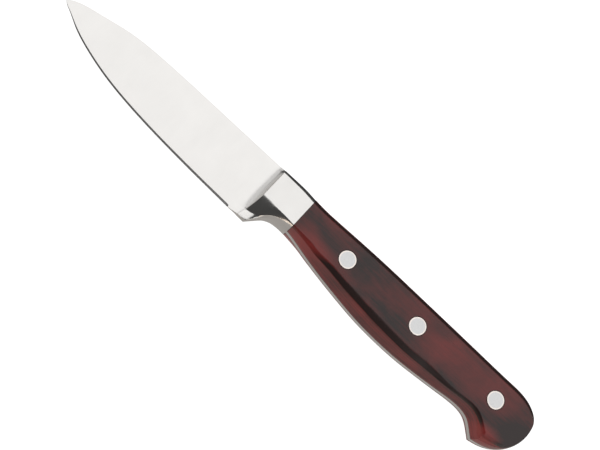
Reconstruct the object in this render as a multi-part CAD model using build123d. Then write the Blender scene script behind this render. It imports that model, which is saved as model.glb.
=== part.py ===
"""Three-rivet full-tang kitchen knife: one forging (blade, bolster and tang), two handle scales
bedded in adhesive on the tang, and three cutler's rivets of two halves each.

Frame: the knife lies on its right side. +X runs from the tip to the butt, +Y from the cutting edge
to the spine, and +Z is up, out of the left side. The origin is under the middle of the knife.
Stations are millimetres behind the tip; heights are millimetres above the line through the tip;
z is measured from the knife's middle plane until the pieces are placed.
"""

import os
from math import cos, pi, sin

from build123d import *

# Overall sizes
LENGTH = 204.5
SPINE_HEIGHT = 8.84
HOOK_DEPTH = 14.1
HANDLE_THICKNESS = 14.0
TANG_THICKNESS = 2.3
HALF = HANDLE_THICKNESS / 2
TANG_HALF = TANG_THICKNESS / 2

# Blade
SPINE_HALF_TIP = 0.3
SPINE_HALF_HEEL = 1.0
SHOULDER_HALF = 0.25
BEVEL_TIP = 0.45
BEVEL_HEEL = 0.8
BLADE_ROOT = 90.3
SPINE_LINE = [(0.2, 0.35), (3.3, 2.15), (11.0, 4.3), (21.5, 6.7), (34.5, 7.95), (55.0, 8.4),
              (BLADE_ROOT, 8.78)]
EDGE_LINE = [(0.2, -0.35), (3.3, -2.0), (8.4, -4.6), (16.2, -7.42), (26.6, -9.9), (37.0, -11.36),
             (55.0, -12.65), (BLADE_ROOT, -13.45)]

# Bolster
PLUNGE_START = 85.3
BOLSTER_FRONT = 89.2
FRONT_HALF = 4.8
JOINT = 102.8

# Handle outline, from the joint along the back to the hook, and from the hook along the belly
HOOK = (192.2, -HOOK_DEPTH)
BACK = [(100.0, 8.5), (103.5, 8.2), (107.5, 8.02), (113.7, 8.14), (121.5, 8.45), (132.0, 8.74),
        (150.0, SPINE_HEIGHT), (175.0, SPINE_HEIGHT), (190.0, 8.8), (LENGTH - 6.3, 7.9),
        (LENGTH - 2.2, 5.4), (LENGTH, 1.0), (LENGTH - 0.05, -3.9), (LENGTH - 2.4, -8.7),
        (LENGTH - 6.5, -12.0), HOOK]
BELLY = [HOOK, (190.2, -12.2), (187.0, -9.8), (182.0, -9.0), (174.0, -9.7), (166.0, -10.65),
         (157.0, -11.45), (148.0, -11.7), (139.0, -11.4), (130.0, -10.4), (120.0, -9.0),
         (110.0, -7.25), (103.5, -6.0), (100.0, -5.75)]

# Handle section: levels above the middle plane, from the tang through the crease to the flat side,
# and how far the section is set in from the outline at each. The back is crowned; the belly has
# a curved facet up to the crease and a roll above it.
CREASE_LEVEL = 6.2
ROLL_RISE = 0.56
LEVELS = (TANG_HALF, 3.8, CREASE_LEVEL, CREASE_LEVEL + (HALF - CREASE_LEVEL) * ROLL_RISE, HALF)
BACK_INSETS = (0.0, 0.6, 1.6, 2.1, 2.9)
FACET_SHARES = (0.0, 0.26, 1.0, 1.0, 1.0)
ROLL_SHARES = (0.0, 0.0, 0.0, 0.42, 1.0)
FACET_AND_ROLL = [(JOINT, 0.65, 0.85), (112.0, 1.2, 1.5), (122.0, 1.9, 2.1), (140.0, 2.2, 2.45),
                  (163.0, 1.7, 2.2), (178.0, 1.0, 1.0), (186.5, 1.15, 1.5), (HOOK[0], 1.0, 2.2)]

# Round the butt the insets shrink, and at the toe of the hook the flat side rolls down over a
# wide stretch.
BUTT_START = 188.0
BUTT_SHARE = 0.35
BUTT_HEIGHTS = (2.0, 8.4)
TOE_ROLL = 2.2
TOE_HEIGHT = 4.6
FILM = 0.12
SHOULDER_FILM = 0.15

# Rivets
RIVETS = {"front": 123.05, "middle": 154.1, "rear": 188.9}
RIVET_HEIGHT = -0.65
HEAD_R = 3.0
HEAD_DEPTH = 1.6
TUBE_R = 2.15
PIN_R = 1.5
PIN_TOP = 4.4
TANG_HOLE_R = 2.4


def mix(start, end, share):
    """From start to end in proportion as share goes from 0 to 1."""
    return start + (end - start) * share


def ease(start, end, share):
    """From start to end as share goes from 0 to 1, level at both ends and held outside them."""
    share = min(1.0, max(0.0, share))
    return mix(start, end, share * share * (3 - 2 * share))


def make_blade():
    """The flat-ground blade: ruled faces between five long edges, closed at the tip and the root."""

    def long_edge(line, side, half_tip, half_root, rise_tip, rise_root):
        points = []
        for station, height in line:
            share = station / BLADE_ROOT
            half = mix(half_tip, half_root, share)
            points.append((station, height + mix(rise_tip, rise_root, share), side * half))
        return Edge.make_spline([Vector(*point) for point in points])

    spine = [long_edge(SPINE_LINE, s, SPINE_HALF_TIP, SPINE_HALF_HEEL, 0, 0) for s in (1, -1)]
    shoulder = [long_edge(EDGE_LINE, s, SHOULDER_HALF, SHOULDER_HALF, BEVEL_TIP, BEVEL_HEEL)
                for s in (1, -1)]
    edge = long_edge(EDGE_LINE, 0, 0, 0, 0, 0)
    ring = [spine[0], shoulder[0], edge, shoulder[1], spine[1]]
    faces = [Face.make_surface_from_curves(a, b) for a, b in zip(ring, ring[1:] + ring[:1])]
    for end in (0, 1):
        faces.append(Face(Wire.make_polygon([curve.position_at(end) for curve in ring], close=True)))
    return Solid(Shell(faces))


def bolster_section(station, half, top, roll, crease, crease_z, bottom, foot=TANG_HALF):
    """A cross-section of the bolster: crowned back, flat side, rolled and faceted belly."""
    scale = half / HALF
    crown = [(top - inset * scale, z * scale) for inset, z in zip(BACK_INSETS, LEVELS)]
    crown[0] = (top, foot)
    belly = [(roll, half), (mix(crease, roll, ROLL_SHARES[3]), mix(crease_z, half, ROLL_RISE)),
             (crease, crease_z), (bottom, foot)]
    left = crown + belly
    outline = left + [(height, -z) for height, z in reversed(left)]
    return Wire.make_polygon([Vector(station, height, z) for height, z in outline], close=True)


def make_bolster():
    """The bolster: a hollow plunge up from the blade, then a body that thickens to the handle."""
    plunge = []
    for step in range(5):
        share = step / 4
        station = PLUNGE_START + (BOLSTER_FRONT - PLUNGE_START) * sin(share * pi / 2)
        rise = (1 - cos(share * pi / 2)) ** 0.9
        plunge.append(bolster_section(station, mix(0.6, FRONT_HALF, rise), mix(8.4, 8.72, share), -2.3,
                                      -10.8, mix(0.3, 1.4, rise), -13.4, mix(0.15, 0.9, rise)))
    body = [
        bolster_section(BOLSTER_FRONT, FRONT_HALF, 8.72, -2.3, -10.8, 1.4, -13.4, 0.9),
        bolster_section(90.6, 5.05, 8.73, -2.4, -10.3, 1.9, -13.3, 0.95),
        bolster_section(92.3, 5.4, 8.73, -2.6, -9.35, 2.7, -11.0, 1.0),
        bolster_section(94.3, 5.8, 8.72, -3.3, -7.7, 3.6, -8.7, 1.05),
        bolster_section(96.4, 6.15, 8.7, -3.7, -6.3, 4.4, -6.9, 1.1),
        bolster_section(98.6, 6.5, 8.62, -4.0, -5.6, 5.1, -6.0),
        bolster_section(100.7, 6.8, 8.44, -4.2, -5.3, 5.75, -5.75),
        bolster_section(JOINT, HALF, 8.24, -4.4, -5.25, 6.3, -5.88),
    ]
    return Solid.make_loft(plunge, True) + Solid.make_loft(body, True)


def facet_and_roll(station):
    """The belly facet's lean and the roll's width at a station, eased between the given stations."""
    for start, end in zip(FACET_AND_ROLL, FACET_AND_ROLL[1:]):
        if station <= end[0]:
            break
    share = (station - start[0]) / (end[0] - start[0])
    return ease(start[1], end[1], share), ease(start[2], end[2], share)


def back_inset(level, point):
    """Inset of the back and butt at a level: full along the back, slim round the butt, and with
    a wide roll at the toe."""
    if point.X < BUTT_START:
        return BACK_INSETS[level]
    low, high = BUTT_HEIGHTS
    slim = ease(BUTT_SHARE, 1.0, (point.Y - low) / (high - low))
    toe = ease(TOE_ROLL, 0.0, (point.Y + HOOK_DEPTH) / TOE_HEIGHT)
    return BACK_INSETS[level] * slim + toe * ROLL_SHARES[level]


def belly_inset(level, point):
    """Inset of the belly at a level: the facet's lean, then the roll up to the flat side."""
    facet, roll = facet_and_roll(point.X)
    return facet * FACET_SHARES[level] + roll * ROLL_SHARES[level]


def handle_outline(level, z):
    """The handle's outline at a level of its section, mitred at the hook and open past the joint."""
    corner = Vector(*HOOK)
    back = Edge.make_spline([Vector(*p) for p in reversed(BACK)])
    belly = Edge.make_spline([Vector(*p) for p in BELLY])
    t_back, t_belly = back.tangent_at(0), belly.tangent_at(0)
    sine = abs(t_back.cross(t_belly).Z)
    reach = t_back * belly_inset(level, corner) + t_belly * back_inset(level, corner)
    mitre = corner + reach * (1 / sine)

    def inset_run(curve, side, inset, count):
        start = (mitre - corner).dot(curve.tangent_at(0)) / curve.length
        points = [mitre]
        for step in range(1, count + 1):
            share = start + (1 - start) * step / count
            p, t = curve.position_at(share), curve.tangent_at(share)
            points.append(p + Vector(-t.Y, t.X) * side * inset(level, p))
        return Edge.make_spline([Vector(p.X, p.Y, z) for p in points])

    back_run = inset_run(back, 1, back_inset, 26)
    belly_run = inset_run(belly, -1, belly_inset, 20)
    front = Edge.make_line(back_run.position_at(1), belly_run.position_at(1))
    return Wire([back_run, front, belly_run])


def side_block(start, z_low, z_high):
    """A block over the whole handle behind a station and between two levels, for trimming."""
    size = LENGTH + 10 - start
    return Pos(start + size / 2, 0, (z_low + z_high) / 2) * Box(size, 60, z_high - z_low)


def make_tang():
    """The full tang, flush with the scales all round."""
    plate = extrude(Face(handle_outline(0, -TANG_HALF)), amount=TANG_THICKNESS, dir=(0, 0, 1))
    return plate & side_block(JOINT, -TANG_HALF, TANG_HALF)


def rod(name, radius, z_low, z_high):
    """A cylinder on a rivet's axis between two levels."""
    return Pos(RIVETS[name], RIVET_HEIGHT, (z_low + z_high) / 2) * Cylinder(radius, z_high - z_low)


def make_left_side():
    """The left scale and its bed of adhesive, cut from one lofted half of the handle."""
    wires = [handle_outline(level, z) for level, z in enumerate(LEVELS)]
    half_handle = Solid.make_loft(wires, True)
    bed = half_handle & side_block(JOINT, TANG_HALF, HALF)
    scale = bed & side_block(JOINT + SHOULDER_FILM, TANG_HALF + FILM, HALF)
    film = bed - side_block(JOINT + SHOULDER_FILM, TANG_HALF + FILM, HALF)
    for name in RIVETS:
        shank = rod(name, TUBE_R, 0, HALF)
        scale = scale - shank - rod(name, HEAD_R, HALF - HEAD_DEPTH, HALF)
        film = film - shank
    return scale, film


def make_rivet(name):
    """One cutler's rivet: a tube half from the left and a pin half driven into it from the right."""
    under_head = HALF - HEAD_DEPTH
    tube = rod(name, HEAD_R, under_head, HALF) + rod(name, TUBE_R, -under_head, under_head)
    tube = tube - rod(name, PIN_R, -under_head, PIN_TOP)
    pin = rod(name, HEAD_R, -HALF, -under_head) + rod(name, PIN_R, -under_head, PIN_TOP)
    return tube, pin


def main():
    """Make every piece, place it in the part's frame and write one STEP file for each."""
    forging = make_blade() + make_bolster() + make_tang()
    for name in RIVETS:
        forging = forging - rod(name, TANG_HOLE_R, -TANG_HALF, TANG_HALF)
    scale, film = make_left_side()
    pieces = {
        "blade_forging": forging,
        "left_scale": scale,
        "left_adhesive_film": film,
        "right_scale": mirror(scale, about=Plane.XY),
        "right_adhesive_film": mirror(film, about=Plane.XY),
    }
    for name in RIVETS:
        pieces[f"{name}_rivet_tube"], pieces[f"{name}_rivet_pin"] = make_rivet(name)

    boxes = [piece.bounding_box() for piece in pieces.values()]
    low = [min(getattr(box.min, axis) for box in boxes) for axis in "XYZ"]
    high = [max(getattr(box.max, axis) for box in boxes) for axis in "XYZ"]
    place = Pos(-(low[0] + high[0]) / 2, -(low[1] + high[1]) / 2, -low[2])
    print("size", [round(b - a, 3) for a, b in zip(low, high)], "low", [round(a, 3) for a in low])

    os.makedirs("parts", exist_ok=True)
    for name, piece in pieces.items():
        solids = piece.solids()
        print(name, len(solids), "solid", round(sum(s.volume for s in solids), 1), "mm3",
              all(s.is_valid for s in solids))
        export_step(place * solids[0], f"parts/{name}.step")


if __name__ == "__main__":
    main()
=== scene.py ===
"""A forged three-rivet paring knife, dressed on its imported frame.

The frame gives every size and place. The forging, the scales, their adhesive and the rivets are
worked out here as smooth surfaces over the frame's own solids, in its own coordinates.

Stations are millimetres behind the tip, heights are millimetres above the line through the tip,
and levels are millimetres to the left of the middle plane. place() turns them into metres.
"""

import math

import bpy
import numpy as np
from mathutils import Matrix, Vector
from mathutils.geometry import tessellate_polygon


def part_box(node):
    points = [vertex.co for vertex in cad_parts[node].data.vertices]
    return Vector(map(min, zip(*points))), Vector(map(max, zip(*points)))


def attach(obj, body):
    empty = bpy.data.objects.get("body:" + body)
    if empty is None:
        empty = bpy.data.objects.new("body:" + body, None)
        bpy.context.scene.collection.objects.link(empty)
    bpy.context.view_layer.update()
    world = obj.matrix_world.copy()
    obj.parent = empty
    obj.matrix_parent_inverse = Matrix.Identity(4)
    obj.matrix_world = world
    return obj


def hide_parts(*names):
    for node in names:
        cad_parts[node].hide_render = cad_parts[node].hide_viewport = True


bl_info = {
    "name": "Paring Knife",
    "version": (1, 0, 0),
    "blender": (4, 5, 0),
    "location": "View3D > Sidebar > Knife",
    "description": "Builds a forged paring knife with laminated wood scales over its packed frame",
    "category": "Object",
}

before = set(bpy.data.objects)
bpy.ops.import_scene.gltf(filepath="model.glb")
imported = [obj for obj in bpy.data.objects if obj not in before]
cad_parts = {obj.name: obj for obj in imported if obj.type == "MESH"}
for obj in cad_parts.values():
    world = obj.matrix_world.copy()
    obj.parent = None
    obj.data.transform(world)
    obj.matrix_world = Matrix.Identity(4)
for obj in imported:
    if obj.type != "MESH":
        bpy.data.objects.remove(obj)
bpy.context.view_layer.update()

MM = 0.001
FORGING_LOW, FORGING_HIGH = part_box("blade_forging")
FILM_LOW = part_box("left_adhesive_film")[0]
SCALE_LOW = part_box("left_scale")[0]
HALF = (FORGING_HIGH.z - FORGING_LOW.z) / 2 / MM
MIDDLE_LEVEL = (FORGING_HIGH.z + FORGING_LOW.z) / 2
RIVETS = ("front", "middle", "rear")

# Outlines, as (station, height): the blade's spine and edge, then the handle's back and belly,
# which meet at the hook. The depth is how far the frame's lowest point lies below the tip's line.
SPINE = [(0.0, 0.0), (0.65, 0.6), (3.3, 2.15), (11.0, 4.3), (21.5, 6.7), (34.5, 7.95),
         (55.0, 8.4), (90.3, 8.78)]
EDGE = [(0.0, 0.0), (0.6, -0.55), (3.3, -2.0), (8.4, -4.6), (16.2, -7.42), (26.6, -9.9), (37.0, -11.36),
        (55.0, -12.65), (90.4, -13.45)]
DEPTH = 14.1
HOOK = (191.9, -14.3)
BACK = [HOOK, (198.1, -12.55), (202.5, -9.2), (204.75, -4.0), (204.8, 1.2), (202.7, 5.8), (198.4, 8.2),
        (190.0, 8.85), (175.0, 8.84), (150.0, 8.84), (132.0, 8.74), (121.5, 8.45), (113.7, 8.14),
        (107.5, 8.02), (103.5, 8.2), (100.0, 8.5)]
BELLY = [HOOK, (189.8, -12.45), (186.7, -10.1), (182.0, -9.15), (174.0, -9.9), (166.0, -10.9),
         (157.0, -11.75), (148.0, -12.0), (139.0, -11.7), (130.0, -10.7), (120.0, -9.25),
         (110.0, -7.3), (103.5, -6.0), (100.0, -5.75)]
JOINT = 102.8

# The bolster's section by station: half thickness, back, where the roll meets the flat side, the
# crease's height and level, and half the foot's thickness.
BOLSTER_STATIONS = np.array([89.3, 90.6, 92.3, 94.3, 96.4, 98.6, 100.7, 102.8])
BOLSTER_HALF = np.array([4.8, 5.05, 5.4, 5.8, 6.15, 6.5, 6.8, 7.0])
BOLSTER_BACK = np.array([8.72, 8.73, 8.73, 8.72, 8.7, 8.62, 8.44, 8.24])
BOLSTER_ROLL = np.array([-3.0, -3.1, -3.25, -3.7, -3.95, -4.15, -4.35, -4.6])
BOLSTER_CREASE = np.array([-10.1, -9.75, -9.15, -7.8, -6.4, -5.7, -5.4, -5.35])
BOLSTER_CREASE_LEVEL = np.array([1.5, 2.0, 2.8, 3.9, 4.75, 5.3, 5.8, 6.2])
BOLSTER_FOOT = np.array([1.3, 1.5, 1.9, 1.7, 1.35, 1.2, 1.15, 1.15])
HEEL = 90.4
HEEL_STATIONS = np.array([90.4, 92.3, 94.3, 96.4, 98.6, 100.7, 102.8])
HEEL_HEIGHTS = np.array([-13.05, -10.75, -8.5, -6.85, -6.0, -5.75, -5.88])

# The belly's section along the handle: the facet's lean, the roll's width and the crease's level.
# The facet turns away from the tang over a share of its height.
GRIP_STATIONS = np.array([102.8, 112.0, 122.0, 140.0, 163.0, 178.0, 186.5, 192.2])
GRIP_FACET = np.array([0.65, 1.3, 2.1, 2.45, 1.95, 1.2, 1.35, 1.1])
GRIP_ROLL = np.array([0.85, 1.5, 2.1, 2.45, 2.2, 1.0, 1.5, 2.2])
GRIP_CREASE = np.array([6.2, 6.1, 6.0, 6.0, 6.05, 6.2, 5.7, 4.7])
FACET_BEND = 0.3

# The back's section: a crown of one radius up to a crease, then a roll to the flat side.
CREASE_LEVEL = 6.0
CROWN_RADIUS = 12.0
BACK_CREASE = 1.5
BACK_ROLL = 1.4

# Round the butt the back's insets shrink to a share, and at the toe the flat side rolls down wide.
BUTT_START = 188.0
BUTT_SHARE = 0.35
BUTT_HEIGHTS = (2.0, 8.4)
TOE_ROLL = 2.2
TOE_HEIGHT = 4.6
TOE_CREASE = GRIP_CREASE[-1]


# ---------------------------------------------------------------------------------------------
# Sizes and colours that a user would change
# ---------------------------------------------------------------------------------------------


class KnifeSizes(bpy.types.PropertyGroup):
    """Sizes of the finished surfaces."""

    tang_half: bpy.props.FloatProperty(
        name="Tang half thickness", description="Half the tang's thickness", default=1.15 * MM, unit="LENGTH")
    shoulder_half: bpy.props.FloatProperty(
        name="Edge shoulder", description="Half the blade's thickness above its bevel",
        default=0.25 * MM, unit="LENGTH")
    spine_half_tip: bpy.props.FloatProperty(
        name="Spine at tip", description="Half the spine's thickness at the tip",
        default=0.3 * MM, unit="LENGTH")
    spine_half_heel: bpy.props.FloatProperty(
        name="Spine at heel", description="Half the spine's thickness at the bolster",
        default=1.0 * MM, unit="LENGTH")
    front_sweep: bpy.props.FloatProperty(
        name="Bolster sweep", description="How far the bolster's front edge runs forward at the heel",
        default=1.9 * MM, unit="LENGTH")
    head_radius: bpy.props.FloatProperty(
        name="Rivet head", description="Radius of a rivet's head", default=3.0 * MM, unit="LENGTH")
    head_rim: bpy.props.FloatProperty(
        name="Rivet rim", description="Width of the turned rim on a rivet's head", default=0.42 * MM,
        unit="LENGTH")


class KnifeColours(bpy.types.PropertyGroup):
    """Colours of the finishes."""

    steel: bpy.props.FloatVectorProperty(
        name="Blade steel", description="Colour of the satin blade", subtype="COLOR",
        default=(0.78, 0.765, 0.745))
    wood_dark: bpy.props.FloatVectorProperty(
        name="Dark veneer", description="Colour of the darkest veneers", subtype="COLOR",
        default=(0.022, 0.011, 0.010))
    wood_red: bpy.props.FloatVectorProperty(
        name="Red veneer", description="Colour of the red veneers", subtype="COLOR",
        default=(0.215, 0.026, 0.023))
    rivet: bpy.props.FloatVectorProperty(
        name="Rivet metal", description="Colour of the rivets", subtype="COLOR", default=(0.66, 0.66, 0.66))
    # A rivet's rim is painted in this brighter, warmer colour: a painted highlight.
    rivet_rim_highlight: bpy.props.FloatVectorProperty(
        name="Rivet rim", description="Colour of a rivet's rim", subtype="COLOR", default=(0.84, 0.76, 0.71))
    adhesive: bpy.props.FloatVectorProperty(
        name="Adhesive", description="Colour of the cured resin", subtype="COLOR",
        default=(0.02, 0.012, 0.01))
    floor: bpy.props.FloatVectorProperty(
        name="Floor", description="Colour of the floor", subtype="COLOR", default=(0.30, 0.30, 0.30))
    card: bpy.props.FloatVectorProperty(
        name="Grey card", description="Glow of the card under the belly side", subtype="COLOR",
        default=(0.80, 0.76, 0.72))


# ---------------------------------------------------------------------------------------------
# Curves and surfaces
# ---------------------------------------------------------------------------------------------


def place(station, height, level):
    """Stations, heights and levels in millimetres, as points of the frame in metres."""
    x = FILM_LOW.x + (station - JOINT) * MM
    y = FORGING_LOW.y + (height + DEPTH) * MM
    z = MIDDLE_LEVEL + level * MM
    return np.stack(np.broadcast_arrays(x, y, z), axis=-1)


def mix(start, end, share):
    """From start to end in proportion as share goes from 0 to 1."""
    return start + (end - start) * share


def ease(share):
    """A smooth step from 0 to 1, level at both ends and held outside them."""
    share = np.clip(share, 0.0, 1.0)
    return share * share * (3 - 2 * share)


def eased(x, stations, values):
    """Values at the given stations, joined by smooth steps."""
    k = np.clip(np.searchsorted(stations, x) - 1, 0, len(stations) - 2)
    share = (x - stations[k]) / (stations[k + 1] - stations[k])
    return mix(values[k], values[k + 1], ease(share))


class SmoothCurve:
    """A natural cubic spline: second derivatives that are continuous, and zero at both ends."""

    def __init__(self, knots, values):
        self.t = np.asarray(knots, float)
        self.p = np.asarray(values, float).reshape(len(self.t), -1)
        h = np.diff(self.t)
        n = len(self.t)
        system = np.eye(n)
        inner = np.arange(1, n - 1)
        system[inner, inner - 1] = h[:-1]
        system[inner, inner] = 2 * (h[:-1] + h[1:])
        system[inner, inner + 1] = h[1:]
        slope = np.diff(self.p, axis=0) / h[:, None]
        right = np.zeros_like(self.p)
        right[1:-1] = 6 * np.diff(slope, axis=0)
        self.bend = np.linalg.solve(system, right)

    @classmethod
    def through(cls, points):
        """The spline through points of a plane, run by its length from point to point."""
        points = np.asarray(points, float)
        lengths = np.linalg.norm(np.diff(points, axis=0), axis=1)
        return cls(np.concatenate([[0.0], np.cumsum(lengths)]), points)

    def __call__(self, t, derivative=False):
        """The curve's points at the knots' measure t, or its derivatives there."""
        t = np.asarray(t, float)
        k = np.clip(np.searchsorted(self.t, t, side="right") - 1, 0, len(self.t) - 2)
        h = (self.t[k + 1] - self.t[k])[:, None]
        a = (self.t[k + 1] - t)[:, None]
        b = (t - self.t[k])[:, None]
        m0, m1, p0, p1 = self.bend[k], self.bend[k + 1], self.p[k], self.p[k + 1]
        if derivative:
            return (m1 * b ** 2 - m0 * a ** 2) / (2 * h) + (p1 - p0) / h - (m1 - m0) * h / 6
        return (m0 * a ** 3 + m1 * b ** 3) / (6 * h) + (p0 / h - m0 * h / 6) * a + (p1 / h - m1 * h / 6) * b


def heights_along(outline, stations):
    """The height of an outline that runs steadily backwards, at the given stations."""
    curve = SmoothCurve.through(outline)
    t = np.linspace(0, curve.t[-1], 4000)
    run = curve(t)
    return np.interp(stations, run[:, 0], run[:, 1])


# A roll from a crease to the flat side: the shares of its run at which it has rows, closer together
# towards the flat, and the share of its rise at each, 1 - (1 - run) ** power.
ROLL_POWER = 1.35
ROLL_STEPS = 14
ROLL_START = 0.04
ROLL_RUN = np.append(ROLL_START, 1 - np.linspace(1, 0, ROLL_STEPS + 1)[1:] ** 1.5)
ROLL_RISE = 1 - (1 - ROLL_RUN) ** ROLL_POWER

# Where the four rows lie on the parabola that rounds a crease.
BEND_SHARES = np.array([0.2, 0.4, 0.6, 0.8])


def parabola(before, crease, after, share):
    """Points at shares of the parabola between two points that has the crease as its control point."""
    return (1 - share) ** 2 * before + 2 * share * (1 - share) * crease + share ** 2 * after


def lean_share(share, bend=FACET_BEND):
    """How far the facet has leaned in at a share of its height, as a share of its whole lean: a
    hyperbola that leaves the tang square, and is nearly straight beyond the bend."""
    return (np.sqrt(share ** 2 + bend ** 2) - bend) / (math.sqrt(1 + bend ** 2) - bend)


def grid_faces(rows, columns, first=0, wrap=False):
    """Quads over a grid of points numbered row by row, joined round if wrap is set."""
    j = np.arange(columns if wrap else columns - 1)
    i = np.arange(rows - 1)[:, None]
    k = (j + 1) % columns
    near, far = i * columns, (i + 1) * columns
    quads = np.stack([near + j, near + k, far + k, far + j], axis=-1)
    return (quads.reshape(-1, 4) + first).tolist()


def outwards(points, faces):
    """The faces turned so that the closed shell that they make holds a positive volume."""
    volume = 0.0
    for size in {len(face) for face in faces}:
        corners = points[np.array([face for face in faces if len(face) == size])]
        for k in range(1, size - 1):
            volume += np.einsum("ij,ij->", corners[:, 0], np.cross(corners[:, k], corners[:, k + 1]))
    return faces if volume > 0 else [face[::-1] for face in faces]


def join_shells(shells):
    """Several closed shells as one list of points and one list of faces."""
    points, faces, count = [], [], 0
    for shell_points, shell_faces in shells:
        faces += [[count + i for i in face] for face in outwards(shell_points, shell_faces)]
        points.append(shell_points)
        count += len(shell_points)
    return np.concatenate(points), faces


def build_piece(name, shells, nodes, finish, crisp=14.0):
    """A mesh piece from closed shells: smooth, crisp where faces meet above an angle, riding on the
    knife in place of its CAD nodes."""
    points, faces = join_shells(shells)
    mesh = bpy.data.meshes.new(name)
    mesh.from_pydata(points.tolist(), [], faces)
    mesh.validate()
    mesh.shade_smooth()
    mesh.set_sharp_from_angle(angle=math.radians(crisp))
    piece = bpy.data.objects.new(name, mesh)
    bpy.context.scene.collection.objects.link(piece)
    mesh.materials.append(finish)
    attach(piece, "root")
    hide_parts(*nodes)
    return piece


# ---------------------------------------------------------------------------------------------
# The forging
# ---------------------------------------------------------------------------------------------

# Heights of the bevel at the tip, at the heel and where it has faded, the station where it ends, and
# the lengths over which it fades and its shoulder thickens.
BEVEL_TIP, BEVEL_HEEL, BEVEL_FADED = 0.45, 0.8, 0.02
BEVEL_END = 85.7
BEVEL_FADE = 0.6
SHOULDER_GROWTH = 5.5
# The point of the blade thins to a share of its thickness over the first stations.
POINT_SHARE = 0.35
POINT_LENGTH = 12.0
# The flat of the blade, then the plunge up to the bolster's front, whose foot sweeps forward.
BLADE_FLAT_END = 83.6
PLUNGE_START, BOLSTER_FRONT = 84.7, 89.3
SWEEP_START, SWEEP_HEIGHT, SWEEP_DEPTH, SWEEP_POWER = 78.0, -3.5, 9.5, 1.6

# Rows of a section: the foot, a facet or flat, and the crown. From the flat side to the middle of
# the back they are the upper rows.
FOOT_SHARES = np.array([[0.0, 0.85, 1.0]])
FLAT_SHARES = np.array([0.04, 0.2, 0.4, 0.6, 0.8, 0.96, 1.0])
CROWN_ROWS = 9
UPPER_ROWS = len(FLAT_SHARES) + ROLL_STEPS + CROWN_ROWS


def forging_stations():
    """Stations from the tip to the joint, close together at the tip, the plunge and the heel."""
    blade = BLADE_FLAT_END * np.linspace(0.0, 1.0, 130)[1:] ** 1.4
    run_out = np.linspace(BLADE_FLAT_END, PLUNGE_START, 8)[1:]
    plunge = PLUNGE_START + (BOLSTER_FRONT - PLUNGE_START) * np.sin(np.linspace(0, np.pi / 2, 25)[1:])
    land = np.array([89.34, 89.42, 89.7, 90.05, 90.34, HEEL])
    body = HEEL + (JOINT - HEEL) * np.linspace(0, 1, 52)[1:]
    return np.concatenate([blade, run_out, plunge, land, body])


def bolster_halves(x):
    """Heights and levels over the bolster's left half at each station, from the foot to the back:
    a curved facet to the crease, a roll to the flat side, the flat, a rolled corner, a crown. Down
    the roll the level falls as a power of the distance from the flat side."""
    x = np.maximum(x, BOLSTER_FRONT)

    def along(values):
        return SmoothCurve(BOLSTER_STATIONS, values)(x)[:, 0][:, None]

    half, back, roll = along(BOLSTER_HALF), along(BOLSTER_BACK), along(BOLSTER_ROLL)
    crease, crease_level, foot = along(BOLSTER_CREASE), along(BOLSTER_CREASE_LEVEL), along(BOLSTER_FOOT)
    bottom = SmoothCurve(HEEL_STATIONS, HEEL_HEIGHTS)(np.maximum(x, HEEL))[:, 0][:, None]
    scale = half / HALF
    facet = FLAT_SHARES[None]
    run, rise = ROLL_RUN[None], ROLL_RISE[None]
    corner = back - (BACK_CREASE + BACK_ROLL) * scale
    bend = BEND_SHARES[None]
    facet_height, facet_level = mix(bottom, crease, lean_share(facet)), mix(foot, crease_level, facet)
    roll_height, roll_level = mix(crease, roll, run), mix(crease_level, half, rise)
    levels = CREASE_LEVEL * np.linspace(1, 0, CROWN_ROWS)[None]
    heights = [bottom + 0.0 * FOOT_SHARES, facet_height[:, :-1],
               parabola(facet_height[:, -2:-1], crease, roll_height[:, :1], bend), roll_height,
               mix(roll, corner, facet), (back - (BACK_CREASE + BACK_ROLL * run[:, ::-1]) * scale)[:, 1:],
               back - crown_drop(levels) * scale]
    sides = [foot * FOOT_SHARES, facet_level[:, :-1],
             parabola(facet_level[:, -2:-1], crease_level, roll_level[:, :1], bend), roll_level,
             half + 0.0 * facet,
             (mix(CREASE_LEVEL, HALF, rise[:, ::-1]) * scale)[:, 1:], levels * scale]
    return np.concatenate(heights, axis=1), np.concatenate(sides, axis=1)


def blade_halves(x, sizes):
    """The same rows over the blade: bevel, flat side and square spine, at the bolster's shares of
    the blade's height, so that each row runs on into the bolster."""
    top = heights_along(SPINE, x)[:, None]
    edge = heights_along(EDGE, x)[:, None]
    share = (x / HEEL)[:, None]
    grown = ease((x - BEVEL_END) / SHOULDER_GROWTH)[:, None]
    thin = mix(POINT_SHARE, 1.0, ease((x / POINT_LENGTH)[:, None]))
    shoulder = mix(sizes.shoulder_half / MM * thin, 1.0, grown)
    faded = ease((x - BEVEL_END + BEVEL_FADE) / BEVEL_FADE)[:, None]
    bevel = mix(mix(BEVEL_TIP, BEVEL_HEEL, share) * thin, BEVEL_FADED, faded)
    spine = mix(sizes.spine_half_tip, sizes.spine_half_heel, share) / MM * thin
    heights, _ = bolster_halves(np.array([BOLSTER_FRONT]))
    shares = (heights - heights[:, :1]) / (heights[:, -1:] - heights[:, :1])
    heights = mix(edge, top, shares)
    rows = np.arange(heights.shape[1])[None]
    heights[:, :3] = edge + bevel * FOOT_SHARES
    heights[:, 3:] = np.maximum(heights[:, 3:], edge + bevel * 1.0001)
    sides = mix(shoulder, spine, (heights - edge - bevel) / np.maximum(top - edge - bevel, 1e-6))
    sides[:, :3] = shoulder * FOOT_SHARES
    crown = heights.shape[1] - CROWN_ROWS
    across = np.linspace(1, 0, CROWN_ROWS)[np.clip(rows - crown, 0, CROWN_ROWS - 1)]
    heights = np.where(rows >= crown, top, heights)
    sides = np.where(rows >= crown, spine * across, sides)
    return heights, sides


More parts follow.
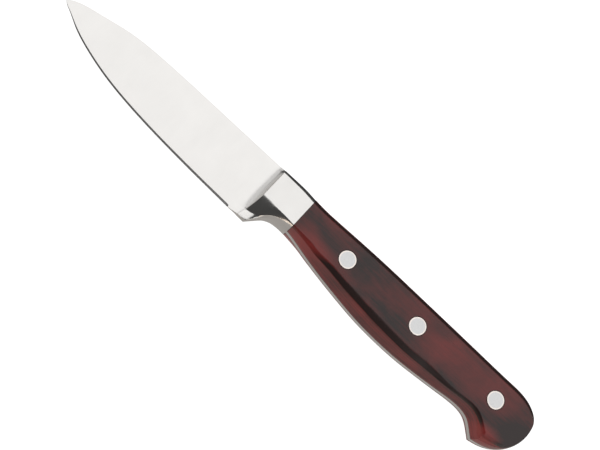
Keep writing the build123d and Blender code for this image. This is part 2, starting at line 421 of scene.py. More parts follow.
def forging_shell(sizes):
    """Blade and bolster as one surface of two parameters, station and place round the section. The
    plunge is a quarter circle in station: the level goes from the blade's to the bolster's as one
    less the cosine, and so do the heights above the flat side's foot. The front edge then runs
    forward below the flat side."""
    x = forging_stations()
    blade_height, blade_side = blade_halves(np.minimum(x, HEEL), sizes)
    bolster_height, bolster_side = bolster_halves(x)
    s = np.clip((x - PLUNGE_START) / (BOLSTER_FRONT - PLUNGE_START), 0, 1)[:, None]
    rise = 1 - np.sqrt(1 - s ** 2)
    total = blade_height.shape[1]
    upper = np.arange(total) > total - UPPER_ROWS
    heights = mix(blade_height, bolster_height, np.where(upper, rise, ease(s)))
    sides = mix(blade_side, bolster_side, rise)
    low = np.clip((SWEEP_HEIGHT - heights) / SWEEP_DEPTH, 0, 1) ** SWEEP_POWER
    forward = ease((x - SWEEP_START) / (PLUNGE_START - SWEEP_START))
    forward *= np.clip((HEEL - x) / (HEEL - BOLSTER_FRONT), 0, 1)
    stations = x[:, None] - sizes.front_sweep / MM * low * forward[:, None]
    left = place(stations, heights, sides)
    right = place(stations, heights, -sides)[:, -2:0:-1]
    ring = np.concatenate([left, right], axis=1)
    count, columns = ring.shape[:2]
    points = np.concatenate([ring.reshape(-1, 3), place(np.array([0.0, JOINT]), np.array([0.0, 1.0]), 0.0)])
    faces = grid_faces(count, columns, wrap=True)
    tip, joint = count * columns, count * columns + 1
    last = (count - 1) * columns
    for k in range(columns):
        following = (k + 1) % columns
        faces.append([tip, following, k])
        faces.append([joint, last + k, last + following])
    return points, faces


# ---------------------------------------------------------------------------------------------
# The handle
# ---------------------------------------------------------------------------------------------

BACK_COUNT, BELLY_COUNT = 230, 170
FACET_ROWS = np.array([0.0, 0.02, 0.2, 0.4, 0.6, 0.8, 0.95, 1.0])
FRONT_BLEND = 6.0
BORE_GAP = 0.11
BORE_DEPTH = 1.5
BORE_POINTS = 72
TANG_LAP = 0.05
FILM_SETBACK = 0.03


def inset_loop(back_inset, belly_inset, front):
    """The handle's outline moved inwards. Each point moves along its normal by the inset there, the
    two runs start from the mitre at the hook, and both end on the plane at the front station."""
    back, belly = SmoothCurve.through(BACK), SmoothCurve.through(BELLY)
    ends = []
    for curve in (back, belly):
        t = np.linspace(0, curve.t[-1], 3000)
        behind = curve(t)[:, 0] > front
        ends.append(t[behind][-1])
    tangents = [curve(np.zeros(1), True)[0] for curve in (back, belly)]
    tangents = [t / np.linalg.norm(t) for t in tangents]
    sine = abs(tangents[0][0] * tangents[1][1] - tangents[0][1] * tangents[1][0])
    hook = np.array(HOOK)
    at_hook = back_inset(hook[None])[0], belly_inset(hook[None])[0]
    mitre = hook + (tangents[0] * at_hook[1] + tangents[1] * at_hook[0]) / sine
    runs = []
    for curve, end, side, inset, count, tangent in (
            (back, ends[0], 1, back_inset, BACK_COUNT, tangents[0]),
            (belly, ends[1], -1, belly_inset, BELLY_COUNT, tangents[1])):
        start = (mitre - hook) @ tangent
        t = mix(start, end, np.linspace(0, 1, count))
        point, along = curve(t), curve(t, True)
        along /= np.linalg.norm(along, axis=1)[:, None]
        normal = np.stack([-along[:, 1], along[:, 0]], axis=1) * side
        moved = point + normal * inset(point)[:, None]
        moved[0] = mitre
        moved[:, 0] += (front - moved[-1, 0]) * np.clip(1 - (end - t) / FRONT_BLEND, 0, 1)
        runs.append(moved)
    return np.concatenate([runs[0][::-1], runs[1][1:]])


def grip_section():
    """The rows of the handle's section, from the tang to the flat side: shares of the facet's height,
    then of the roll's run and its rise."""
    return [(share, 0.0, 0.0) for share in FACET_ROWS] + [(1.0, *step) for step in zip(ROLL_RUN, ROLL_RISE)]


def crown_drop(level):
    """How far the back's crown has dropped at a level."""
    return CROWN_RADIUS - np.sqrt(CROWN_RADIUS ** 2 - level ** 2)


def even_inset(inset):
    """An inset that is the same all round an outline."""
    return lambda points: np.full(len(points), inset)


def handle_rows(low_level, front, skin=0.0):
    """Points over one side of the handle, row by row from the tang. The belly leans in to the crease
    and rolls over to the flat side; the back has a crown of one radius and a roll, which shrink
    round the butt, and the toe of the hook rolls down over a wide stretch."""
    points = []
    low_drop = crown_drop(low_level)
    for facet, run, rise in grip_section():
        base = mix(low_level, CREASE_LEVEL, facet)
        crown = BACK_CREASE * (crown_drop(base) - low_drop) / (crown_drop(CREASE_LEVEL) - low_drop)

        def back_inset(point):
            low, high = BUTT_HEIGHTS
            slim = mix(BUTT_SHARE, 1.0, ease((point[:, 1] - low) / (high - low)))
            toe = TOE_ROLL * (1 - ease((point[:, 1] - HOOK[1]) / TOE_HEIGHT))
            butt = point[:, 0] > BUTT_START
            return (crown + BACK_ROLL * run) * np.where(butt, slim, 1.0) + toe * butt * run + skin

        def belly_inset(point):
            lean = eased(point[:, 0], GRIP_STATIONS, GRIP_FACET)
            roll = eased(point[:, 0], GRIP_STATIONS, GRIP_ROLL)
            return lean * lean_share(facet) + roll * run + skin

        loop = inset_loop(back_inset, belly_inset, front)
        climb = ease((loop[:, 1] - HOOK[1]) / TOE_HEIGHT) + (loop[:, 0] < BUTT_START)
        crease = mix(TOE_CREASE, CREASE_LEVEL, np.minimum(climb, 1.0))
        crease[BACK_COUNT:] = eased(loop[BACK_COUNT:, 0], GRIP_STATIONS, GRIP_CREASE)
        level = mix(low_level, crease, facet) + (HALF - crease) * rise
        points.append((loop, level - skin))
    return soften(points)


def soften(rows):
    """The rows with their crease rounded: in place of its row come four of the parabola that has the
    crease as its control point and ends on the rows beside it."""
    k = len(FACET_ROWS) - 1
    before, crease, after = [np.column_stack(row) for row in rows[k - 1:k + 2]]
    bend = [parabola(before, crease, after, share) for share in BEND_SHARES]
    return rows[:k] + [(row[:, :2], row[:, 2]) for row in bend] + rows[k + 1:]


def rivet_places():
    """The station and height of each rivet, from the frame."""
    found = []
    for name in RIVETS:
        low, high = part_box(f"{name}_rivet_tube")
        centre = (low + high) / 2
        station = JOINT + (centre.x - FILM_LOW.x) / MM
        found.append((station, (centre.y - FORGING_LOW.y) / MM - DEPTH))
    return found


def scale_shell(side, head_radius):
    """One handle scale: the rows of its section round the outline, a flat underside, and a flat face
    pierced by three counterbores."""
    low_level = (SCALE_LOW.z - MIDDLE_LEVEL) / MM
    front = JOINT + (SCALE_LOW.x - FILM_LOW.x) / MM
    rows = handle_rows(low_level, front)
    columns = len(rows[0][0])
    points = [place(loop[:, 0], loop[:, 1], side * level) for loop, level in rows]
    faces = grid_faces(len(rows), columns, wrap=True)
    faces.append(list(range(columns)))
    top = points[-1]
    around = np.linspace(0, 2 * np.pi, BORE_POINTS + 1)[:-1]
    bores, first = [], len(rows) * columns
    for station, height in rivet_places():
        ring_x = station + (head_radius + BORE_GAP) * np.cos(around)
        ring_y = height + (head_radius + BORE_GAP) * np.sin(around)
        mouth = place(ring_x, ring_y, side * HALF)
        floor = place(ring_x, ring_y, side * (HALF - BORE_DEPTH))
        bores.append(mouth)
        points += [mouth, floor]
        ring = grid_faces(2, BORE_POINTS, first, wrap=True)
        faces += [face[::-1] for face in ring]
        faces.append(list(range(first + BORE_POINTS, first + 2 * BORE_POINTS)))
        first += 2 * BORE_POINTS
    polygons = [[Vector(p) for p in top]] + [[Vector(p) for p in mouth] for mouth in bores]
    numbers = list(range((len(rows) - 1) * columns, len(rows) * columns))
    start = len(rows) * columns
    for k in range(len(bores)):
        numbers += list(range(start + 2 * k * BORE_POINTS, start + (2 * k + 1) * BORE_POINTS))
    faces += [[numbers[i] for i in triangle] for triangle in tessellate_polygon(polygons)]
    return np.concatenate(points), faces


def plate_shell(loop, low_level, high_level):
    """A flat plate with the given outline between two levels."""
    count = len(loop)
    points = np.concatenate([place(loop[:, 0], loop[:, 1], level) for level in (low_level, high_level)])
    faces = grid_faces(2, count, wrap=True)
    return points, faces + [list(range(count))[::-1], list(range(count, 2 * count))]


def tang_shell(sizes):
    """The tang: a plate of the handle's own outline, its rim flush with the scales."""
    loop = inset_loop(even_inset(0.0), even_inset(0.0), JOINT - TANG_LAP)
    half = sizes.tang_half / MM
    return plate_shell(loop, -half, half)


def film_shells(side):
    """The adhesive on one side: a bed over the tang and a collar against the bolster's shoulder."""
    low_level = (FILM_LOW.z - MIDDLE_LEVEL) / MM
    bed_level = (SCALE_LOW.z - MIDDLE_LEVEL) / MM
    back_station = JOINT + (SCALE_LOW.x - FILM_LOW.x) / MM
    loop = inset_loop(even_inset(FILM_SETBACK), even_inset(FILM_SETBACK), JOINT)
    bed = plate_shell(loop, side * low_level, side * bed_level)
    rows = handle_rows(bed_level, back_station, FILM_SETBACK)
    ends = np.array([[loop[0], loop[-1]] for loop, _ in rows])
    levels = np.array([[level[0], level[-1]] for _, level in rows])
    heights = np.concatenate([ends[:, 0, 1], ends[::-1, 1, 1]])
    section = np.concatenate([levels[:, 0], levels[::-1, 1]]) * side
    count = len(heights)
    points = np.concatenate([place(JOINT, heights, section), place(back_station, heights, section)])
    faces = grid_faces(2, count, wrap=True)
    collar = points, faces + [list(range(count))[::-1], list(range(count, 2 * count))]
    return [bed, collar]


def lathe_shell(station, height, profile, around=96):
    """A profile of (radius, level) turned about a rivet's axis, closed by poles at both ends."""
    profile = np.array(profile, float)
    angle = np.arange(around) * 2 * np.pi / around
    ring = profile[1:-1]
    stations = station + ring[:, :1] * np.cos(angle)
    heights = height + ring[:, :1] * np.sin(angle)
    points = place(stations, heights, ring[:, 1:]).reshape(-1, 3)
    poles = place(station, height, profile[[0, -1], 1])
    faces = grid_faces(len(ring), around, wrap=True)
    first, last = len(points), (len(ring) - 1) * around
    for k in range(around):
        following = (k + 1) % around
        faces.append([first, following, k])
        faces.append([first + 1, last + k, last + following])
    return np.concatenate([points, poles]), faces


# Levels of a rivet head's dish and rim, how far each rises, and the eased edge: how far each of its
# points lies inside the head's radius and above the flat side.
DISH_LEVEL, DISH_RISE = HALF + 0.005, 0.02
RIM_LEVEL, RIM_RISE = HALF + 0.025, 0.02
HEAD_EDGE = ((0.06, 0.02), (0.02, 0.0), (0.0, -0.05))


def rivet_head(sizes):
    """Radii and levels across a head: a shallow dished middle, a raised rim and an eased edge."""
    radius, rim = sizes.head_radius / MM, sizes.head_rim / MM
    dish = radius - rim
    inner = [(r, DISH_LEVEL + DISH_RISE * (r / dish) ** 2) for r in np.linspace(0, dish, 7)]
    crest = [(dish + rim * t, RIM_LEVEL + RIM_RISE * math.sin(math.pi * t)) for t in (0.15, 0.35, 0.6, 0.8)]
    edge = [(radius - inside, HALF + above) for inside, above in HEAD_EDGE]
    return inner + crest + edge


# ---------------------------------------------------------------------------------------------
# Finishes
# ---------------------------------------------------------------------------------------------


class Value:
    """A socket of a finish, with arithmetic that adds Math nodes."""

    def __init__(self, finish, socket):
        self.finish = finish
        self.socket = socket

    def __add__(self, other):
        return self.finish.math("ADD", self, other)

    def __radd__(self, other):
        return self.finish.math("ADD", other, self)

    def __sub__(self, other):
        return self.finish.math("SUBTRACT", self, other)

    def __rsub__(self, other):
        return self.finish.math("SUBTRACT", other, self)

    def __mul__(self, other):
        return self.finish.math("MULTIPLY", self, other)

    def __rmul__(self, other):
        return self.finish.math("MULTIPLY", other, self)

    def __truediv__(self, other):
        return self.finish.math("DIVIDE", self, other)

    def __rtruediv__(self, other):
        return self.finish.math("DIVIDE", other, self)

    def __pow__(self, other):
        return self.finish.math("POWER", self, other)

    def clamped(self):
        """This value held between 0 and 1."""
        return self.finish.node("ShaderNodeClamp", {}, {"Value": self})

    def between(self, low, high):
        """A smooth step from 0 to 1 as this value goes from low to high."""
        return self.finish.node("ShaderNodeMapRange", {"interpolation_type": "SMOOTHSTEP"},
                                {"Value": self, "From Min": low, "From Max": high})


class Finish:
    """A material under construction: one shader, and the nodes that feed it."""

    def __init__(self, name):
        self.material = bpy.data.materials.new(name)
        self.material.use_nodes = True
        self.tree = self.material.node_tree
        self.tree.nodes.clear()
        self.shader = self.tree.nodes.new("ShaderNodeBsdfPrincipled")
        output = self.tree.nodes.new("ShaderNodeOutputMaterial")
        self.tree.links.new(self.shader.outputs["BSDF"], output.inputs["Surface"])

    def node(self, kind, settings, inputs, output=0):
        """A node of one kind: its settings first, then its sockets' values or links. Returns one output."""
        node = self.tree.nodes.new(kind)
        for name, value in settings.items():
            setattr(node, name, value)
        for name, value in inputs.items():
            self.feed(node.inputs[name], value)
        return Value(self, node.outputs[output])

    def feed(self, socket, value):
        """Links a value to a socket, or sets the socket to a number or a colour."""
        if isinstance(value, Value):
            self.tree.links.new(value.socket, socket)
        elif socket.type == "RGBA" and len(value) == 3:
            socket.default_value = (*value, 1.0)
        else:
            socket.default_value = value

    def set(self, **inputs):
        """Sets the shader's own sockets; underscores in a name stand for spaces."""
        for name, value in inputs.items():
            self.feed(self.shader.inputs[name.replace("_", " ")], value)

    def math(self, operation, *values):
        """A Math node over one or two values."""
        return self.node("ShaderNodeMath", {"operation": operation}, dict(enumerate(values)))

    def blend(self, factor, first, second):
        """A colour between two others, as factor goes from 0 to 1."""
        return self.node("ShaderNodeMix", {"data_type": "RGBA"}, {0: factor, 6: first, 7: second}, output=2)

    def position(self):
        """The point's place on the knife as a vector in millimetres."""
        where = self.node("ShaderNodeTexCoord", {}, {}, output="Object")
        return self.node("ShaderNodeVectorMath", {"operation": "SCALE"}, {0: where, "Scale": 1 / MM})

    def axes(self, vector):
        """The three numbers of a vector."""
        return [self.node("ShaderNodeSeparateXYZ", {}, {0: vector}, output=k) for k in range(3)]

    def stretched(self, vector, factors):
        """A vector multiplied axis by axis."""
        return self.node("ShaderNodeVectorMath", {"operation": "MULTIPLY"}, {0: vector, 1: factors})

    def noise(self, vector, factors, detail=2.0, roughness=0.5, distortion=0.0):
        """Soft noise with a grain of about one millimetre over the given factors."""
        return self.node("ShaderNodeTexNoise", {}, {
            "Vector": self.stretched(vector, factors), "Scale": 1.0, "Detail": detail,
            "Roughness": roughness, "Distortion": distortion}, output=0)

    def bump(self, height, strength, distance):
        """A normal from a height, in millimetres of relief."""
        return self.node("ShaderNodeBump", {}, {
            "Height": height, "Strength": strength, "Distance": distance * MM}, output="Normal")


def knife_axes(finish, where):
    """The station, the height and the level of a point, from its position."""
    x, y, z = finish.axes(where)
    return x + (JOINT - FILM_LOW.x / MM), y - (DEPTH + FORGING_LOW.y / MM), z - MIDDLE_LEVEL / MM


def rivet_distances(finish, station, height):
    """How far a point lies from the axis of each rivet."""
    for rivet_station, rivet_height in rivet_places():
        yield finish.math("SQRT", (station - rivet_station) ** 2.0 + (height - rivet_height) ** 2.0)


BLACK = (0.0, 0.0, 0.0)


def steel_finish(colours):
    """Blade steel: cross-ground satin on the blade, long-brushed and brighter on bolster and tang."""
    f = Finish("satin_steel")
    where = f.position()
    station = knife_axes(f, where)[0]
    on_blade = 1 - station.between(BOLSTER_FRONT - 1.1, BOLSTER_FRONT + 0.1)
    across = f.noise(where, (9.0, 0.12, 0.4), detail=3.0, roughness=0.65)
    along = f.noise(where, (0.10, 7.0, 7.0), detail=3.0, roughness=0.65)
    cloud = f.noise(where, (0.16, 0.10, 0.16), detail=3.0)
    lines = f.blend(on_blade, along, across)
    lines = f.node("ShaderNodeRGBToBW", {}, {0: lines})
    tone = 0.86 + 0.07 * on_blade + 0.07 * lines + (cloud - 0.5) * 0.10
    f.set(Base_Color=f.blend(tone.clamped(), BLACK, tuple(colours.steel)), Metallic=1.0,
          Roughness=0.20 + 0.10 * on_blade + (lines - 0.5) * 0.10 + (cloud - 0.5) * 0.05,
          Normal=f.bump(lines, 0.35, 0.004))
    return f.material


# Levels over which the facets give way to the roll, and over which the painted shade on the roll, a
# dark layer under the face, begins and ends, and the distances from a rivet's axis over which the
# painted shade of the gap round its head ends.
FACET_FADE = (5.9, 6.15)
PAINTED_ROLL_SHADE_START, PAINTED_ROLL_SHADE_END = (6.0, 6.2), (6.75, 6.99)
PAINTED_GAP_SHADE_FADE = (3.05, 3.5)

# Where the dye took red or dark: station, height, reach along and across, and how much redder. The
# flames have no strength of their own.
FLAMES = ((109.0, -5.2, 9.0, 2.4), (193.5, -11.5, 5.0, 2.2))
DYE_PATCHES = (
    (113.0, 2.5, 5.0, 3.5, -0.10), (130.0, 6.0, 9.0, 2.6, -0.20), (137.0, 1.5, 8.0, 3.0, -0.15),
    (200.0, -1.0, 4.5, 8.0, -0.30), (190.0, -6.0, 8.0, 2.5, -0.25), (150.0, 3.0, 9.0, 4.0, 0.18),
    (172.0, 0.0, 12.0, 5.0, 0.15), (163.0, -3.5, 7.0, 2.0, 0.12))


def wood_finish(colours):
    """Resin-laminated wood: dyed veneers stacked through the thickness, clouded dark and red, with
    painted shade on the roll as a dark layer under the face, fine pores along the grain and a dark ring
    of painted shade of the gap round each rivet's head."""
    f = Finish("laminated_wood")
    where = f.position()
    station, height, depth = knife_axes(f, where)
    warp = f.noise(where, (0.035, 0.11, 0.11), detail=2.0) - 0.5
    veneers = f.noise(where, (0.012, 0.03, 1.5), detail=3.0, roughness=0.6)
    clouds = f.noise(where, (0.055, 0.12, 0.10), detail=4.0, roughness=0.55, distortion=0.4)
    streaks = f.noise(where, (0.10, 1.6, 1.6), detail=4.0, roughness=0.6)
    pores = f.noise(where, (0.55, 9.0, 9.0), detail=2.0, roughness=0.6)
    threads = f.noise(where, (0.02, 0.05, 4.0), detail=2.0, roughness=0.5)
    flame = warmth(station, height, *FLAMES[0]) + warmth(station, height, *FLAMES[1])
    level = f.math("ABSOLUTE", depth)
    facet = 1.0 - level.between(*FACET_FADE)
    # Where the roll is painted darker: painted shade of the rolled edge, as a dark layer under the face.
    roll = level.between(*PAINTED_ROLL_SHADE_START) * (1.0 - level.between(*PAINTED_ROLL_SHADE_END))
    redness = (clouds - 0.31 + warp * 0.2) * 1.5 + (streaks - 0.5) * 0.5 + (veneers - 0.5) * 0.8
    # Painted shade: the roll loses redness, except under the flames.
    redness = redness + flame * 0.6 - roll * (1.0 - flame) * 0.6 + facet * (0.25 + (threads - 0.5) * 1.2)
    for *patch, strength in DYE_PATCHES:
        redness = redness + strength * warmth(station, height, *patch)
    colour = f.blend(redness.clamped(), tuple(colours.wood_dark), tuple(colours.wood_red))
    # A dark ring round each rivet: painted shade of the gap round its head.
    ring = 1.0
    for away in rivet_distances(f, station, height):
        ring = ring * away.between(*PAINTED_GAP_SHADE_FADE)
    shade = (0.45 + 0.55 * ring) * (1.0 - pores.between(0.62, 0.78) * 0.35)
    f.set(Base_Color=f.blend(shade.clamped(), (0.004, 0.002, 0.002), colour),
          Roughness=0.30 + (streaks - 0.5) * 0.12, IOR=1.45,
          Normal=f.bump(pores + streaks * 0.6, 0.25, 0.01))
    return f.material


def warmth(station, height, centre_station, centre_height, reach, spread):
    """A soft patch: one over one plus the fourth power of the distance from its centre, measured in
    its own reach and spread."""
    along = (station - centre_station) / reach
    across = (height - centre_height) / spread
    return 1.0 / (1.0 + (along * along + across * across) ** 2.0)


TURNING_PITCH = 0.16
FAR = 100.0


def rivet_finish(colours, sizes):
    """Rivet metal: fine turning marks in the dished middle, and a smoother rim painted brighter and warmer as
    a painted highlight.
    """
    f = Finish("turned_rivet")
    where = f.position()
    station, height, _ = knife_axes(f, where)
    nearest = FAR
    for away in rivet_distances(f, station, height):
        nearest = f.math("MINIMUM", away, nearest)
    dish = (sizes.head_radius - sizes.head_rim) / MM
    rim = nearest.between(dish - 0.1, dish + 0.1)
    turned = f.math("SINE", nearest * (2 * math.pi / TURNING_PITCH))
    mottle = f.noise(where, (1.2, 1.2, 1.2), detail=3.0)
    # The rim takes the brighter, warmer colour, a painted highlight; its lower roughness is the smoother
    # turning.
    metal = f.blend(rim, tuple(colours.rivet), tuple(colours.rivet_rim_highlight))
    f.set(Base_Color=f.blend((0.86 + mottle * 0.22).clamped(), BLACK, metal), Metallic=1.0,
          Roughness=0.42 - 0.14 * rim + (mottle - 0.5) * 0.15,
          Normal=f.bump(turned * (1 - rim) + mottle, 0.2, 0.006))
    return f.material


def adhesive_finish(colours):
    """Cured resin: nearly black, slightly uneven."""
    f = Finish("cured_resin")
    mottle = f.noise(f.position(), (0.8, 2.0, 2.0), detail=3.0)
    f.set(Base_Color=f.blend(mottle, (0.005, 0.004, 0.004), tuple(colours.adhesive)),
          Roughness=0.45 + 0.2 * mottle, Normal=f.bump(mottle, 0.3, 0.01))
    return f.material


def floor_finish(colours):
    """A pale floor that glows like a light table, so that it stays plain, with a faint mottle."""
    f = Finish("pale_floor")
    mottle = f.noise(f.position(), (0.004, 0.004, 0.004), detail=2.0)
    f.set(Base_Color=f.blend(0.97 + 0.03 * mottle, BLACK, tuple(colours.floor)),
          Roughness=0.9, Emission_Color=(1.0, 1.0, 1.0), Emission_Strength=1.0)
    return f.material


# The card's glow is dimmed to a share within a reach of the knife, a painted shadow of the knife on the
# table, and brightens over the fade beyond.
CARD_PAINTED_SHADOW = 0.55
CARD_PAINTED_SHADOW_REACH, CARD_FADE = 16.0, 26.0


def card_finish(colours):
    """The grey card that the polished metal reflects, a glowing panel: dimmer close to the knife as a painted
    shadow of the knife, paler further out.
    """
    f = Finish("grey_card")
    y = f.axes(f.position())[1]
    # Painted shadow: the card glows dimmer near the knife.
    out = (-1.0 * y - CARD_PAINTED_SHADOW_REACH).between(0.0, CARD_FADE)
    near = tuple(CARD_PAINTED_SHADOW * shade for shade in colours.card)
    f.set(Base_Color=BLACK, Roughness=1.0, Emission_Strength=1.0,
          Emission_Color=f.blend(out, near, tuple(colours.card)))
    return f.material


# ---------------------------------------------------------------------------------------------
# Operators
# ---------------------------------------------------------------------------------------------


class KNIFE_OT_forging(bpy.types.Operator):
    """Build the blade, bolster and tang"""

    bl_idname = "knife.forging"
    bl_label = "Build Forging"

    def execute(self, context):
        sizes, colours = context.scene.knife_sizes, context.scene.knife_colours
        build_piece("forging", [forging_shell(sizes), tang_shell(sizes)], ["blade_forging"],
                    steel_finish(colours))
        return {"FINISHED"}


class KNIFE_OT_scales(bpy.types.Operator):
    """Build the two handle scales"""

    bl_idname = "knife.scales"
    bl_label = "Build Scales"

    def execute(self, context):
        sizes, colours = context.scene.knife_sizes, context.scene.knife_colours
        wood = wood_finish(colours)
        for name, side in (("left", 1), ("right", -1)):
            shell = scale_shell(side, sizes.head_radius / MM)
            build_piece(f"{name}_handle_slab", [shell], [f"{name}_scale"], wood)
        return {"FINISHED"}


class KNIFE_OT_adhesive(bpy.types.Operator):
    """Build the adhesive beds under the scales"""

    bl_idname = "knife.adhesive"
    bl_label = "Build Adhesive"

    def execute(self, context):
        resin = adhesive_finish(context.scene.knife_colours)
        for name, side in (("left", 1), ("right", -1)):
            build_piece(f"{name}_resin_bed", film_shells(side), [f"{name}_adhesive_film"], resin)
        return {"FINISHED"}


# A rivet's halves below the heads: the radii of the tube, its bore and the pin in it, the levels at
# which bore and pin end, the level of the heads' undersides, and the gap between pin head and tube.
TUBE_RADIUS, BORE_RADIUS, PIN_RADIUS = 2.1, 1.52, 1.48
TUBE_FLOOR, PIN_END = 4.4, 4.35
HEAD_UNDER = HALF - 1.45
SEAT_GAP = 0.01
EASED = 0.05


class KNIFE_OT_rivets(bpy.types.Operator):
    """Build the three rivets, a tube half and a pin half each"""

    bl_idname = "knife.rivets"
    bl_label = "Build Rivets"

    def execute(self, context):
        sizes, colours = context.scene.knife_sizes, context.scene.knife_colours
        metal = rivet_finish(colours, sizes)
        head = rivet_head(sizes)
        radius = sizes.head_radius / MM
        tube = head + [
            (radius, HEAD_UNDER + EASED), (radius - EASED, HEAD_UNDER), (TUBE_RADIUS, HEAD_UNDER),
            (TUBE_RADIUS, -HEAD_UNDER), (BORE_RADIUS, -HEAD_UNDER), (BORE_RADIUS, TUBE_FLOOR),
            (0.0, TUBE_FLOOR)]
        pin = [(r, -level) for r, level in head] + [
            (radius, -HEAD_UNDER - EASED), (radius - EASED, -HEAD_UNDER - SEAT_GAP),
            (PIN_RADIUS, -HEAD_UNDER - SEAT_GAP), (PIN_RADIUS, PIN_END), (0.0, PIN_END)]
        for name, (station, height) in zip(RIVETS, rivet_places()):
            build_piece(f"{name}_tube_half", [lathe_shell(station, height, tube)], [f"{name}_rivet_tube"],
                        metal, crisp=30.0)
            build_piece(f"{name}_pin_half", [lathe_shell(station, height, pin)], [f"{name}_rivet_pin"],
                        metal, crisp=30.0)
        return {"FINISHED"}


class KNIFE_OT_stage(bpy.types.Operator):
    """Set the floor, the lights and the camera"""

    bl_idname = "knife.stage"
    bl_label = "Set Stage"

    def execute(self, context):
        set_floor(context.scene.knife_colours)
        set_lights()
        set_camera()
        return {"FINISHED"}


FLOOR_REACH = 3.0
FLOOR_LEVEL, CARD_LEVEL = -0.2 * MM, -1.0 * MM


def stage_plane(name, low, high, level, finish):
    """A flat rectangle of the stage between two corners, at a level below the knife."""
    mesh = bpy.data.meshes.new(name)
    corners = [(*low, level), (high[0], low[1], level), (*high, level), (low[0], high[1], level)]
    mesh.from_pydata(corners, [], [(0, 1, 2, 3)])
    mesh.materials.append(finish)
    plane = bpy.data.objects.new(name, mesh)
    bpy.context.scene.collection.objects.link(plane)
    return plane


def set_floor(colours):
    """A wide flat floor just under the knife. Polished metal looks past it, to a grey card that
    reaches out below the belly side alone, so that the back keeps a dark outline."""
    reach, back = (FLOOR_REACH, FLOOR_REACH), (-FLOOR_REACH, -FLOOR_REACH)
    floor = stage_plane("floor", back, reach, FLOOR_LEVEL, floor_finish(colours))
    floor.visible_glossy = False
    stage_plane("grey_card", back, (FLOOR_REACH, 0.0), CARD_LEVEL, card_finish(colours))


# Soft boxes, in metres: name, centre, target, size, brightness and colour. The wide one overhead
# reaches far past the back of the knife and only a little past its belly. The others show only on
# faces that lean: at the heel, on the plunge, and along the belly's crease.
WHITE, WARM = (1.0, 1.0, 1.0), (1.0, 0.85, 0.72)
SOFT_BOXES = (
    ("overhead", (0.0, 0.76, 1.0), (0.0, 0.76, 0.0), (3.0, 1.78), 1.15, WHITE),
    ("heel_fill", (1.04, -0.63, 1.0), (1.04, -0.63, 0.0), (1.32, 0.94), 0.95, WHITE),
    ("heel_panel", (1.25, -1.0, 0.55), (0.0, 0.0, 0.1), (0.9, 1.1), 0.8, WHITE),
    ("tip_panel", (-1.7, 0.2, 0.5), (0.0, 0.2, 0.5), (2.4, 1.0), 0.75, WHITE),
    ("belly_strip", (0.0, -1.5, 0.28), (0.0, 0.0, 0.0), (3.0, 0.26), 1.7, WARM))
SURROUND = 0.06


def soft_box(name, centre, target, size, brightness, colour):
    """A rectangular soft light at a centre, facing a target, as bright at any size."""
    light = bpy.data.lights.new(name, "AREA")
    light.shape = "RECTANGLE"
    light.size, light.size_y = size
    light.energy = size[0] * size[1] * math.pi * brightness
    light.color = colour
    lamp = bpy.data.objects.new(name, light)
    lamp.location = centre
    lamp.rotation_euler = (Vector(target) - Vector(centre)).to_track_quat("-Z", "Y").to_euler()
    bpy.context.scene.collection.objects.link(lamp)


def set_lights():
    """The soft boxes and a dim surround."""
    for box in SOFT_BOXES:
        soft_box(*box)
    world = bpy.data.worlds.new("surround")
    world.use_nodes = True
    background = world.node_tree.nodes["Background"]
    background.inputs["Color"].default_value = (*WHITE, 1.0)
    background.inputs["Strength"].default_value = SURROUND
    bpy.context.scene.world = world
    bpy.context.scene.view_settings.view_transform = "Standard"


# The camera: how far it leans from straight above towards the belly side and the tip, the knife's
# turn in its view, its lens and sensor width in millimetres, its distance in metres, and the station
# and height that it looks at.
TILT_TO_BELLY = 18.3
TILT_TO_TIP = 2.0
TURN = 43.5
LENS, SENSOR_WIDTH = 66.0, 36.0
DISTANCE = 0.3575
AIM = (104.6, -0.92)


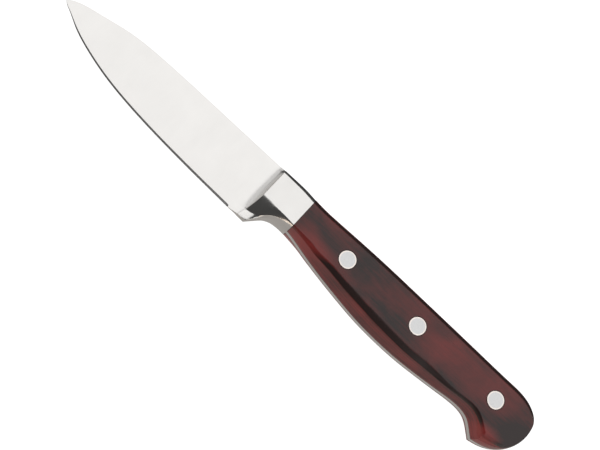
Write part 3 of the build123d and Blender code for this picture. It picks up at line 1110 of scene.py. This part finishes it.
def set_camera():
    """The camera stands over the belly side, with the knife running down to the right in its view."""
    camera_data = bpy.data.cameras.new("camera")
    camera_data.sensor_width = SENSOR_WIDTH
    camera_data.lens = LENS
    camera_data.clip_start = 0.01
    camera = bpy.data.objects.new("camera", camera_data)
    bpy.context.scene.collection.objects.link(camera)
    aim = Vector(place(AIM[0], AIM[1], 0.0).tolist())
    belly, tip = math.radians(TILT_TO_BELLY), math.radians(TILT_TO_TIP)
    towards = Vector((-math.sin(tip), -math.sin(belly) * math.cos(tip), math.cos(belly) * math.cos(tip)))
    along = Vector((1, 0, 0)) - towards * towards.x
    along.normalize()
    up_blade = towards.cross(along)
    turn = math.radians(TURN)
    right = along * math.cos(turn) + up_blade * math.sin(turn)
    up = up_blade * math.cos(turn) - along * math.sin(turn)
    rotation = Matrix((right, up, towards)).transposed().to_4x4()
    camera.matrix_world = Matrix.Translation(aim + towards * DISTANCE) @ rotation
    bpy.context.scene.camera = camera


class KNIFE_PT_panel(bpy.types.Panel):
    """The knife's pieces and sizes"""

    bl_idname = "KNIFE_PT_panel"
    bl_label = "Paring Knife"
    bl_space_type = "VIEW_3D"
    bl_region_type = "UI"
    bl_category = "Knife"

    def draw(self, context):
        for operator in PIECE_OPERATORS:
            self.layout.operator(operator.bl_idname)
        for group in (context.scene.knife_sizes, context.scene.knife_colours):
            for name in group.bl_rna.properties.keys():
                if name not in ("rna_type", "name"):
                    self.layout.prop(group, name)


PIECE_OPERATORS = (KNIFE_OT_forging, KNIFE_OT_scales, KNIFE_OT_adhesive, KNIFE_OT_rivets, KNIFE_OT_stage)
CLASSES = (KnifeSizes, KnifeColours, *PIECE_OPERATORS, KNIFE_PT_panel)


def register():
    """Makes the groups, operators and panel known, and gives the scene its sizes and colours."""
    for cls in CLASSES:
        bpy.utils.register_class(cls)
    bpy.types.Scene.knife_sizes = bpy.props.PointerProperty(type=KnifeSizes)
    bpy.types.Scene.knife_colours = bpy.props.PointerProperty(type=KnifeColours)


def unregister():
    """Takes back what register() set."""
    del bpy.types.Scene.knife_colours
    del bpy.types.Scene.knife_sizes
    for cls in reversed(CLASSES):
        bpy.utils.unregister_class(cls)


def main():
    """Registers the add-on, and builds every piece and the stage."""
    register()
    bpy.ops.knife.forging()
    bpy.ops.knife.scales()
    bpy.ops.knife.adhesive()
    bpy.ops.knife.rivets()
    bpy.ops.knife.stage()
    bpy.context.view_layer.update()


if __name__ == "__main__":
    main()
